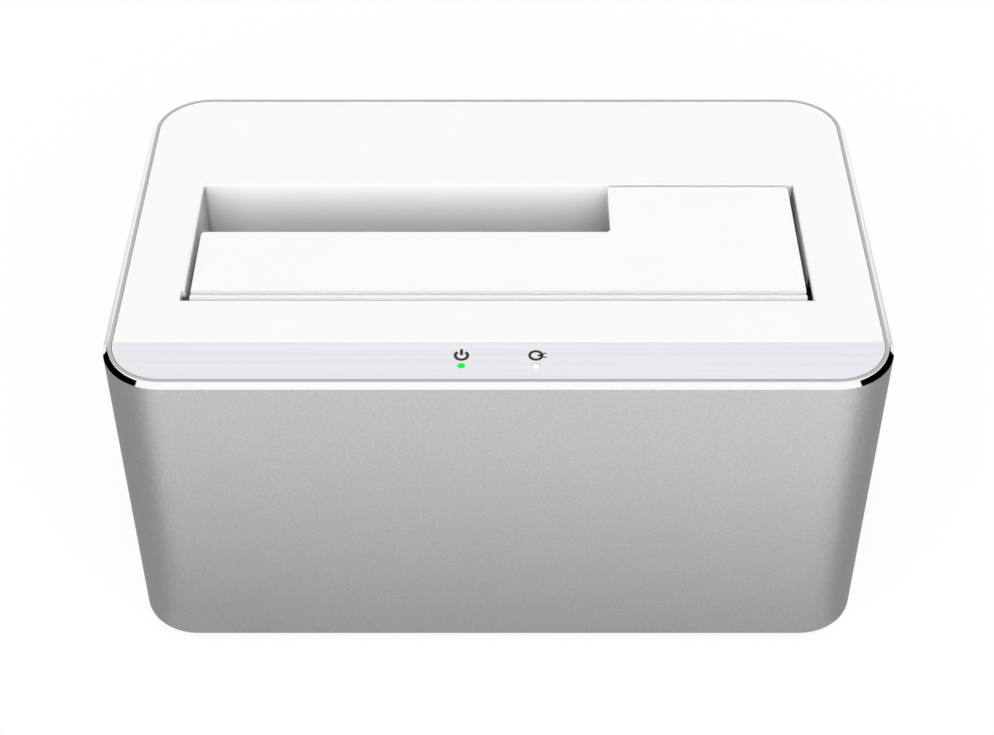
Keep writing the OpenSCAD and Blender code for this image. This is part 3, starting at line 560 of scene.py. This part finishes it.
# Sprung flap
# One moulding in the same white ABS: an L-shaped plate that leaves room for a small drive, a rolled barrel
# along its front edge for the pin, ribs below, and a tab that stops it flush with the top.
flap_end, flap_front, flap_low = 50.85, -16.65, 59.6
cut_x, cut_y, arm_length = 19.15, -0.9, 12.65
rail_front, rail_rear = -18.25, -17.55
socket_depth = 6
flap = block("sprung_flap", (-flap_end, flap_front, flap_low), (flap_end, cut_y, top))
bpy.ops.mesh.select_all(action="SELECT")
bpy.ops.mesh.bisect(plane_co=(cut_x * MM, 0, 0), plane_no=(1, 0, 0))
faces(lambda at, way: way.y > 0.99 and at.x > cut_x)
pull(0, arm_length, 0)
edges(lambda at, way, bend: upright(at, way, bend) and at.y > -1)
bevel(0.8, 6)
edges(lambda at, way, bend: at.z > top - 0.01 and bend > 60)
bevel(0.08, 2)
edges(lambda at, way, bend: at.z < flap_low + 0.01 and bend > 60)
bevel(0.2, 2)
rail = block("hinge_rail", (-flap_end, rail_front, hinge_z), (flap_end, hinge_y, 60.8))
bpy.ops.mesh.select_all(action="SELECT")
bpy.ops.mesh.bisect(plane_co=(0, rail_rear * MM, 0), plane_no=(0, 1, 0))
faces(lambda at, way: way.z > 0.99 and at.y < rail_rear)
pull(0, 0, 1.15)
edges(lambda at, way, bend: at.z > top - 0.1)
bevel(0.06, 2)
barrel = rod("hinge_barrel", 1.5, (-flap_end, hinge_y, hinge_z), (flap_end, hinge_y, hinge_z), 48)
edges(lambda at, way, bend: abs(at.x) > flap_end - 0.05)
bevel(0.15, 2)
faces(lambda at, way: abs(way.x) > 0.99)
inset(0.55)
faces(lambda at, way: way.x > 0.99 and abs(at.y - hinge_y) < 0.1)
pull(-socket_depth, 0, 0)
faces(lambda at, way: way.x < -0.99 and abs(at.y - hinge_y) < 0.1)
pull(socket_depth, 0, 0)
ribs = []
for x, rear in ((-38, -2.4), (-12, -2.4), (10, -2.4), (40, 7.85)):
    ribs.append(block("flap_rib", (x - 0.6, hinge_y, 58.7), (x + 0.6, rear, 59.7)))
    edges(lambda at, way, bend: at.z < 58.71 and abs(way.z) < 0.1)
    bevel(0.3, 2)
tab = block("flush_tab", (27, 9.35, 58.2), (43, 11.74, 59.7))
bpy.ops.mesh.select_all(action="SELECT")
bpy.ops.mesh.bisect(plane_co=(0, 0, 59.4 * MM), plane_no=(0, 0, 1))
faces(lambda at, way: way.y > 0.99 and at.z < 59.3)
pull(0, 1.66, 0)
edges(lambda at, way, bend: at.y > 13.3 and abs(way.x) > 0.99)
bevel(0.3, 3)
join(flap, rail, barrel, tab, *ribs)
smooth(flap)

# Painted shade in the groove behind the rail, on its rear edge, and along the rail's front edge
groove_shade = (-50.8, -17.6, 61.3), (50.8, -16.4, 61.9), 0.88
groove_edge_shade = (-50.8, -16.66, 61.9), (50.8, -16.53, 62.01), 0.66
rail_edge_shade = (-50.8, -18.26, 61.87), (50.8, -17.95, 62.01), 0.78, (1, -17.95, -18.2)
flap_plastic = moulded("flap_plastic", (0.875, 0.875, 0.87), (0.925, 0.925, 0.92), 0.5,
                       painted_shades=(groove_shade, groove_edge_shade, rail_edge_shade))
wear(flap, flap_plastic)
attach(flap, "flap")
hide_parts("flap")

# Hinge pin and torsion spring
# A blackened steel pin runs through the barrel and both ends of the slot. The spring is wound from music
# wire round the pin's right end: one leg lifts the flap and the other rests on the web under the top.
def metal(name, dark, light, low, high, scale=1500, stretch=(1, 1, 1)):
    """Bare metal with a fine grain, between two tints and two roughnesses"""
    made, shader, place = finish(name, 1, (low + high) / 2)
    fine = place.noise(scale, 3, stretch)
    cloud = place.noise(220, 2)
    (fine * 0.6 + cloud * 0.4).tint(dark, light).into(shader["Base Color"])
    (fine * (high - low) + low).into(shader["Roughness"])
    fine.bump(0.00002, 0.25).into(shader["Normal"])
    return made


def dress(node, made):
    """Gives a CAD node that keeps its shape a better material"""
    wear(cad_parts[node], made)


blackened, shader, place = finish("blackened_steel", 1, 0.38)
drawn = place.noise(900, 3, (8, 1, 1))
# Past 50 mm along X, inside the spring's room, the pin is drawn fully black: painted shade
unshaded = place.node("ShaderNodeSeparateXYZ", {}, {0: place}) < 50 * MM
(drawn * unshaded).tint((0.008, 0.008, 0.009), (0.18, 0.18, 0.185)).into(shader["Base Color"])
(drawn * 0.15 + 0.3).into(shader["Roughness"])
dress("hinge_pin", blackened)


def wire_piece(name, points, radius):
    """Round wire along a row of points in millimetres"""
    clear()
    path = bpy.data.curves.new(name, "CURVE")
    path.dimensions = "3D"
    path.bevel_depth = radius * MM
    path.bevel_resolution = 3
    path.use_fill_caps = True
    line = path.splines.new("POLY")
    line.points.add(len(points) - 1)
    for spot, point in zip(line.points, points):
        spot.co = (*(Vector(point) * MM), 1)
    piece = bpy.data.objects.new(name, path)
    bpy.context.scene.collection.objects.link(piece)
    bpy.context.view_layer.objects.active = piece
    piece.select_set(True)
    bpy.ops.object.convert(target="MESH")
    smooth(piece, 60)
    return piece


# The spring's wire, with Y and Z from the pin's axis: the flap's leg, three and a quarter turns, and the
# web's leg
coil_x, coil_radius, pitch, leg_x = 52.4, 1.25, 0.85, 55.1625
wire = [(47.45, 4.2, -0.2), (51.9, 4.2, -0.2), (52.3, 4, -0.2),
        (coil_x, 3.4, -0.05), (coil_x, 2.1, 0.81), (coil_x, 1.05, 1.19)]
for step in range(79):
    turn = step / 24
    angle = radians(90 + 360 * turn)
    wire.append((coil_x + pitch * turn, coil_radius * cos(angle), coil_radius * sin(angle)))
wire += [(leg_x, -1.25, -1.25), (leg_x, -1.4, -5.25), (leg_x, -1.4, -6.5)]
torsion_spring = wire_piece("torsion_spring", [(x, y + hinge_y, z + hinge_z) for x, y, z in wire], 0.2)
wear(torsion_spring, metal("music_wire", (0.06, 0.06, 0.065), (0.12, 0.12, 0.125), 0.3, 0.45))
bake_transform(torsion_spring)
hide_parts("flap_spring")

# Drive well
# The lower half of the slot, moulded in black ABS: four walls and a floor with a window for the drive
# connector. Its lugs are screwed to the white top's bosses and its legs carry the main board.
well = block("drive_well", (-skirt_end, skirt_front, 11.5), (skirt_end, skirt_rear, skirt_low))
faces(lambda at, way: way.z > 0.99)
inset(2.2)
pull(0, 0, -27.5)
carve(well, block("connector_window", (-38.65, 6.15, 10), (-1.35, 11.45, 15)))
edit(well)
edges(lambda at, way, bend: (abs(at.z - 13.5) < 0.01 and bend > 60
                             and abs(at.x + 20) < 19 and 6 < at.y < 11.5))
bevel(0.3, 2)
parts = []
for x in (-44.4, 44.4):
    for y in (-23.2, 16.6):
        parts.append(rod("board_leg", 2.8, (x, y, 9), (x, y, 20), 32))
        edges(lambda at, way, bend: at.z > 19.9)
        bevel(0.5, 3)
lug = 3.2
for x in (-30, 30):
    for y, root in ((-23.6, -21.1), (17, 14.5)):
        parts.append(rod("screw_lug", lug, (x, y, 38), (x, y, skirt_low), 40))
        parts.append(block("lug_root", (x - lug, min(y, root), 38), (x + lug, max(y, root), skirt_low)))
join(well, *parts)
smooth(well)
wear(well, moulded("guide_plastic", (0.018, 0.018, 0.019), (0.035, 0.035, 0.037), 0.5, 2200, 0.00006))
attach(well, "housing")
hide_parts("drive_guide")

# Drive connector
# The power and data connector that a bare drive is pushed onto: a black nylon body with two keyed slots,
# soldered upright on the board, with a row of gold-plated springs in each slot.
connector = block("drive_connector", (-38.5, 6.3, 9), (-1.5, 11.3, 19))
edges(lambda at, way, bend: at.z > 18.9)
bevel(0.35, 2)
for low, high in (((-37.3, 8.05, 13), (-16.9, 9.55, 20)), ((-37.3, 8.05, 13), (-36.1, 10.65, 20)),
                  ((-12.7, 8.05, 13), (-2.7, 9.55, 20)), ((-3.9, 8.05, 13), (-2.7, 10.65, 20))):
    carve(connector, block("contact_slot", low, high))
wings = block("connector_wings", (-41.5, 6.3, 9), (1.5, 11.3, 11.2))
edges(upright)
bevel(0.8, 4)
join(connector, wings)
smooth(connector)
wear(connector, moulded("black_plastic", (0.014, 0.014, 0.015), (0.03, 0.03, 0.031), 0.42))
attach(connector, "housing")
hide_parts("sata_socket")
gold = metal("contact_gold", (0.83, 0.55, 0.2), (0.92, 0.66, 0.3), 0.16, 0.3)
dress("sata_contacts", gold)

# Main board
# Green four-layer board with its parts soldered on top: the bridge chip and its crystal, the regulator with
# two inductors and two capacitors, and the small parts round them.
def board_finish(name):
    """Solder mask over copper: tracks in steps along X and Y, and a woven core under them"""
    made, shader, place = finish(name, 0, 0.35)
    tracks = place.node("ShaderNodeTexBrick", {"offset": 0.37, "squash": 1.0}, {
        "Vector": place, "Color1": (1, 1, 1, 1), "Color2": (0.7, 0.7, 0.7, 1), "Mortar": (0, 0, 0, 1),
        "Scale": 90, "Mortar Size": 0.06, "Mortar Smooth": 0.2, "Brick Width": 0.7, "Row Height": 0.16}, 1)
    weave = place.noise(1800, 2)
    copper = 1 - tracks
    (copper * 0.7 + weave * 0.3).tint((0.008, 0.085, 0.03), (0.02, 0.16, 0.06)).into(shader["Base Color"])
    (weave * 0.14 + 0.26).into(shader["Roughness"])
    copper.bump(0.00005, 0.4).into(shader["Normal"])
    return made


laminate = board_finish("solder_mask")
dress("main_board", laminate)
dress("led_board", laminate)
epoxy = moulded("chip_resin", (0.012, 0.012, 0.013), (0.028, 0.028, 0.03), 0.48, 3000)
dress("bridge_chip", epoxy)
dress("regulator_chip", epoxy)
dress("inductors", moulded("ferrite", (0.05, 0.05, 0.055), (0.11, 0.11, 0.115), 0.6, 3200))
dress("capacitors", metal("capacitor_can", (0.58, 0.58, 0.6), (0.72, 0.72, 0.74), 0.22, 0.36))
dress("crystal", metal("crystal_can", (0.6, 0.6, 0.61), (0.76, 0.76, 0.77), 0.18, 0.32))
dress("chip_parts", moulded("ceramic_tan", (0.36, 0.25, 0.14), (0.5, 0.37, 0.22), 0.5, 2800))
screw_steel = metal("black_zinc", (0.06, 0.06, 0.065), (0.13, 0.13, 0.135), 0.28, 0.42)
for node in ("board_screws", "guide_screws", "led_board_screws"):
    dress(node, screw_steel)

# Indicator board
# A small board under the strip carries the two lamps. A flat cable runs from its plug down the front of the
# drive well to a header on the main board.
resin = moulded("led_resin", (0.78, 0.78, 0.7), (0.88, 0.88, 0.8), 0.3, 1500)
dress("power_led", resin)
dress("activity_led", resin)
ivory = moulded("ivory_nylon", (0.72, 0.67, 0.54), (0.82, 0.77, 0.65), 0.45)
dress("led_plug", ivory)
dress("ribbon_header", ivory)
cable, shader, place = finish("flat_cable", 0, 0.5)
cores = place.node("ShaderNodeTexWave", {"bands_direction": "X"},
                   {"Vector": place, "Scale": 250, "Distortion": 0})
grey = cores * 0.8 + place.noise(1200) * 0.2
grey.tint((0.34, 0.34, 0.345), (0.56, 0.56, 0.565)).into(shader["Base Color"])
cores.bump(0.0002, 0.6).into(shader["Normal"])
dress("led_ribbon", cable)

# Data socket
# Nickel-plated sheet folded round a blue insulator, soldered at the rear edge of the board. The lower tongue
# and the upper one each carry gold contacts.
socket = socket_outline("data_socket", 0.4, 22.1, 39.1)
bpy.ops.mesh.select_all(action="SELECT")
bpy.ops.mesh.dissolve_limited(angle_limit=radians(1))
edges(lambda at, way, bend: abs(way.y) > 0.99 and bend > 20)
bevel(0.25, 3)
faces(lambda at, way: way.y > 0.99)
inset(0.4)
pull(0, -9, 0)
edges(lambda at, way, bend: at.y > 39.09 and bend > 60)
bevel(0.08, 2)
smooth(socket)
wear(socket, metal("nickel_plate", (0.6, 0.59, 0.57), (0.74, 0.73, 0.71), 0.16, 0.3, 1400, (1, 0.15, 1)))
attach(socket, "housing")
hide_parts("usb_shell")
tongue = block("socket_tongues", (-2.8, 29.9, 11.7), (2.8, 38.3, 14.9))
edges(lambda at, way, bend: at.y > 38.2)
bevel(0.35, 3)
blade = block("upper_tongue", (-1.9, 29.9, 18.2), (1.9, 38.3, 19.2))
edges(lambda at, way, bend: at.y > 38.2)
bevel(0.2, 3)
back = block("tongue_back", (-4.2, 29.8, 9.45), (4.2, 30.15, 17.1))
edges(lambda at, way, bend: abs(way.y) > 0.99 and at.z > 17)
bevel(0.9)
join(tongue, blade, back)
smooth(tongue)
wear(tongue, moulded("blue_nylon", (0.012, 0.075, 0.42), (0.025, 0.12, 0.55), 0.4))
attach(tongue, "housing")
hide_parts("usb_insulator")
dress("usb_contacts", gold)

# Power inlet
# A black nylon jack on the board with a round nose that reaches through the rear wall. The centre pin is
# turned brass with a nickel plating and a rounded end.
jack = block("power_inlet", (-26.5, 25.5, 9), (-17.5, 36.5, 20))
edges(lambda at, way, bend: at.z > 19.9 or abs(way.z) > 0.9)
bevel(0.4, 3)
carve(jack, rod("inlet_nose", 4.1, (inlet_x, 26.5, inlet_z), (inlet_x, 39.2, inlet_z), 56), "UNION")
carve(jack, rod("inlet_bore", 3.15, (inlet_x, 29.7, inlet_z), (inlet_x, wall_out, inlet_z), 56))
edit(jack)
edges(lambda at, way, bend: at.y > 39.19 and bend > 60)
bevel(0.25, 3)
smooth(jack)
wear(jack, moulded("inlet_nylon", (0.014, 0.014, 0.015), (0.03, 0.03, 0.031), 0.36))
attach(jack, "housing")
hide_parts("dc_jack")
pin = rod("inlet_pin", 1.05, (inlet_x, 29.7, inlet_z), (inlet_x, 38.2, inlet_z), 32)
edges(lambda at, way, bend: at.y > 38.19)
bevel(0.6, 5)
smooth(pin)
wear(pin, metal("pin_plating", (0.66, 0.65, 0.62), (0.8, 0.79, 0.76), 0.12, 0.26))
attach(pin, "housing")
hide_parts("dc_pin")

# Power button
# A round cap in white ABS with a shallow dish in its face, and a flange that keeps it behind the rear wall.
# It is pressed onto the plunger of a push switch, and a small coil spring in the switch pushes it back.
button = rod("button_cap", 4.6, (button_x, 35.6, button_z), (button_x, 36.6, button_z), 56)
faces(lambda at, way: way.y > 0.99)
inset(1.1)
pull(0, 3.9, 0)
inset(0.5)
inset(1)
bpy.ops.transform.translate(value=(0, -0.3 * MM, 0))
inset(1)
bpy.ops.transform.translate(value=(0, -0.12 * MM, 0))
edges(lambda at, way, bend: abs(at.y - 40.5) < 0.01 and hypot(at.x - button_x, at.z - button_z) > 3.4)
bevel(0.35, 4)
smooth(button, 40)
carve(button, block("plunger_grip", (20.48, 34.5, 13.48), (23.52, 37.8, 16.52)))
wear(button, moulded("button_plastic", (0.8, 0.8, 0.795), (0.88, 0.88, 0.875), 0.42))
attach(button, "button")
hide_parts("power_button")
dress("power_switch", moulded("switch_nylon", (0.016, 0.016, 0.017), (0.035, 0.035, 0.036), 0.42))
dress("switch_plunger", ivory)
coil_start, coil_pitch = 24.77, 0.752
coil = []
for step in range(121):
    turn = step / 24
    angle = turn * 2 * pi
    coil.append((button_x + cos(angle), coil_start + coil_pitch * turn, button_z + sin(angle)))
switch_spring = wire_piece("return_spring", coil, 0.15)
wear(switch_spring, metal("return_wire", (0.5, 0.5, 0.51), (0.66, 0.66, 0.67), 0.2, 0.34))
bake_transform(switch_spring)
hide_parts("switch_spring")

# Base plate
# The bottom cover, moulded in dark grey ABS. It sits in the shell's lower seat, has a recess for each foot
# and a counterbore for each case screw, and its pillars press under the main board.
base_low, foot_x, foot_y, foot_top = 1.9, 44.7, 30.8, 2.6
base = block("base_plate_cover", (-plate_wide, -plate_deep, base_low), (plate_wide, plate_deep, 4.4))
edges(upright)
bevel(plate_corner, 24)
for x in (-1, 1):
    for y in (-1, 1):
        screw = x * post_x, y * post_y
        foot = x * foot_x, y * foot_y
        carve(base, rod("screw_hole", 1.7, (*screw, 1), (*screw, 5), 24))
        carve(base, rod("counterbore", 2.9, (*screw, 1), (*screw, 3.4), 32))
        carve(base, rod("foot_recess", 5.1, (*foot, 1), (*foot, foot_top), 48))
edit(base)
edges(lambda at, way, bend: at.z < base_low + 0.01 and bend > 60)
bevel(0.2, 2)
pillars = [rod("board_pillar", 2.5, (x, y, 4.3), (x, y, 7.4), 32)
           for x in (-42.4, 0, 42.4) for y in (-14, 4)]
join(base, *pillars)
smooth(base)
wear(base, moulded("base_plastic", (0.035, 0.035, 0.037), (0.06, 0.06, 0.063), 0.55, 2000, 0.00008))
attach(base, "housing")
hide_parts("base_plate")

# Rubber feet
# Round pads of black rubber stuck into the base's recesses. Each has a rounded lower edge and a shallow cup.
rubber = moulded("foot_rubber", (0.018, 0.018, 0.018), (0.045, 0.045, 0.045), 0.75, 1500, 0.0001)
for side, x in (("left", -foot_x), ("right", foot_x)):
    for end, y in (("front", -foot_y), ("rear", foot_y)):
        foot = rod(f"rubber_pad_{end}_{side}", 5, (x, y, 0), (x, y, foot_top), 48)
        faces(lambda at, way: way.z < -0.99)
        inset(1.6)
        inset(0.4)
        bpy.ops.transform.translate(value=(0, 0, 0.3 * MM))
        edges(lambda at, way, bend: at.z < 0.01 and hypot(at.x - x, at.y - y) > 4.5)
        bevel(0.5, 5)
        smooth(foot)
        wear(foot, rubber)
        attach(foot, "housing")
        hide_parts(f"foot_{end}_{side}")

# Case screws
# Four pan-head screws in black zinc, driven up through the base into the white top's posts.
screws = []
for x in (-post_x, post_x):
    for y in (-post_y, post_y):
        head = rod("case_screw_set", 2.6, (x, y, 2), (x, y, 3.4), 40)
        edges(lambda at, way, bend: at.z < 2.01)
        bevel(0.6, 5)
        for long_x, long_y in ((1.56, 0.25), (0.25, 1.56)):
            carve(head, block("cross_recess", (x - long_x, y - long_y, 1.5), (x + long_x, y + long_y, 2.84)))
        shank = rod("screw_shank", 1.4, (x, y, 3.3), (x, y, 13.4), 24)
        edges(lambda at, way, bend: at.z > 13.3)
        bevel(0.6)
        screws.append(join(head, shank))
screw_set = join(*screws)
smooth(screw_set)
wear(screw_set, screw_steel)
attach(screw_set, "housing")
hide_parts("case_screws")

# Studio
# A pale floor, a white room, and a dark card at each side that only shows in the polished metal.
clear()
bpy.ops.mesh.primitive_plane_add(size=8)
floor = opened("studio_floor")
clear()
paper = bpy.data.materials.new("floor_paper")
paper.use_nodes = True
tree = paper.node_tree
tree.nodes.clear()
start = Signal(tree)
rays = start.node("ShaderNodeLightPath")
seen, gloss, through = [Signal(tree, rays.socket.node.outputs[name])
                        for name in ("Is Camera Ray", "Is Glossy Ray", "Is Transmission Ray")]
spot = start.node("ShaderNodeSeparateXYZ", {}, {0: start.node("ShaderNodeTexCoord", out=3)})
x, y = [Signal(tree, spot.socket.node.outputs[axis]) for axis in "XY"]


def ease(value, low, high):
    """Goes smoothly from 0 to 1 while the value goes from low to high"""
    return value.node("ShaderNodeMapRange", {"interpolation_type": "SMOOTHSTEP"},
                      {"Value": value, "From Min": low, "From Max": high})


# Painted shade that only polished metal sees in the floor: dim beside the shell and close before it, white
# farther off
beside = x.maths("ABSOLUTE", x) - half_wide * MM
before = y * -1 - half_deep * MM
turn = (beside - before).maths("DIVIDE", beside - before,
                               beside.maths("ABSOLUTE", beside) + before.maths("ABSOLUTE", before) + 0.005)
side = ease(turn - x, -0.25, 0.25)
reach = x.maths("SQRT", x * x + y * y)
dim_side = ease(reach, 0.22, 0.43) * 0.55 + 0.39
dim_front = (ease(before, -0.01, 0.09) * 0.6 + 0.46) * (x.maths("MAXIMUM", x, 0) * 0.9 + 1)
behind = (1 - ease(x.maths("ABSOLUTE", x), 0.2, 0.25)) * ease(y, 0.05, 0.09)
mirrored = side * (dim_side + (1 - dim_side) * behind) + (1 - side) * dim_front
matte = start.node("ShaderNodeBsdfDiffuse", {}, {"Color": (0.95, 0.95, 0.95, 1)})
strength = gloss * mirrored + (1 - gloss)
white = start.node("ShaderNodeEmission", {}, {"Color": (1, 1, 1, 1), "Strength": strength})
shown = start.node("ShaderNodeMixShader", {}, {0: seen * 0.88 + gloss + through * 0.3, 1: matte, 2: white})
start.node("ShaderNodeOutputMaterial", {}, {"Surface": shown})
wear(floor, paper)

# The cards, which light nothing and cast no shadow
cards = bpy.data.materials.new("dark_card")
cards.use_nodes = True
cards.node_tree.nodes["Principled BSDF"].inputs["Base Color"].default_value = (0, 0, 0, 1)
cards.node_tree.nodes["Principled BSDF"].inputs["Specular IOR Level"].default_value = 0
for side, x in (("left", -730), ("right", 730)):
    card = block(f"dark_card_{side}", (x - 5, -498, 30), (x + 5, 700, 800))
    clear()
    wear(card, cards)
    card.visible_camera = False
    card.visible_diffuse = False
    card.visible_shadow = False

# The room: plain white to the eye and in gloss, and for the rest of the light brightest from the front
world = bpy.data.worlds.new("white_room")
world.use_nodes = True
bpy.context.scene.world = world
tree = world.node_tree
tree.nodes.clear()
start = Signal(tree)
rays = start.node("ShaderNodeLightPath")
seen, gloss, through = [Signal(tree, rays.socket.node.outputs[name])
                        for name in ("Is Camera Ray", "Is Glossy Ray", "Is Transmission Ray")]
way = start.node("ShaderNodeSeparateXYZ", {}, {0: start.node("ShaderNodeTexCoord", out=0)})
east, north, up = [Signal(tree, way.socket.node.outputs[axis]) for axis in "XYZ"]
flat = east.maths("SQRT", east * east + north * north) + 0.001
front = ease(north.maths("DIVIDE", north * -1, flat), 0.45, 0.9)
above = ease(up, 0.64, 0.87)
plain = seen.maths("MINIMUM", seen + gloss + through, 1)
low = 1 - ease(up, 0.2, 0.6)
level = plain + (1 - plain) * (front * (low * 0.5 + 2.45) + above * 0.68 + 0.12)
room = start.node("ShaderNodeBackground", {}, {"Color": (1, 1, 1, 1), "Strength": level})
start.node("ShaderNodeOutputWorld", {}, {"Surface": room})

# The camera, fitted to the photo's edges
eye = bpy.data.cameras.new("photo_camera")
eye.lens = 68.98
eye.sensor_width = 36
eye.sensor_fit = "HORIZONTAL"
eye.shift_x = -0.00147
viewer = bpy.data.objects.new("photo_camera", eye)
viewer.location = (0, -0.25662, 0.26547)
viewer.rotation_euler = (radians(47.414), 0, 0)
bpy.context.scene.collection.objects.link(viewer)
bpy.context.scene.camera = viewer
bpy.context.scene.view_settings.view_transform = "Standard"
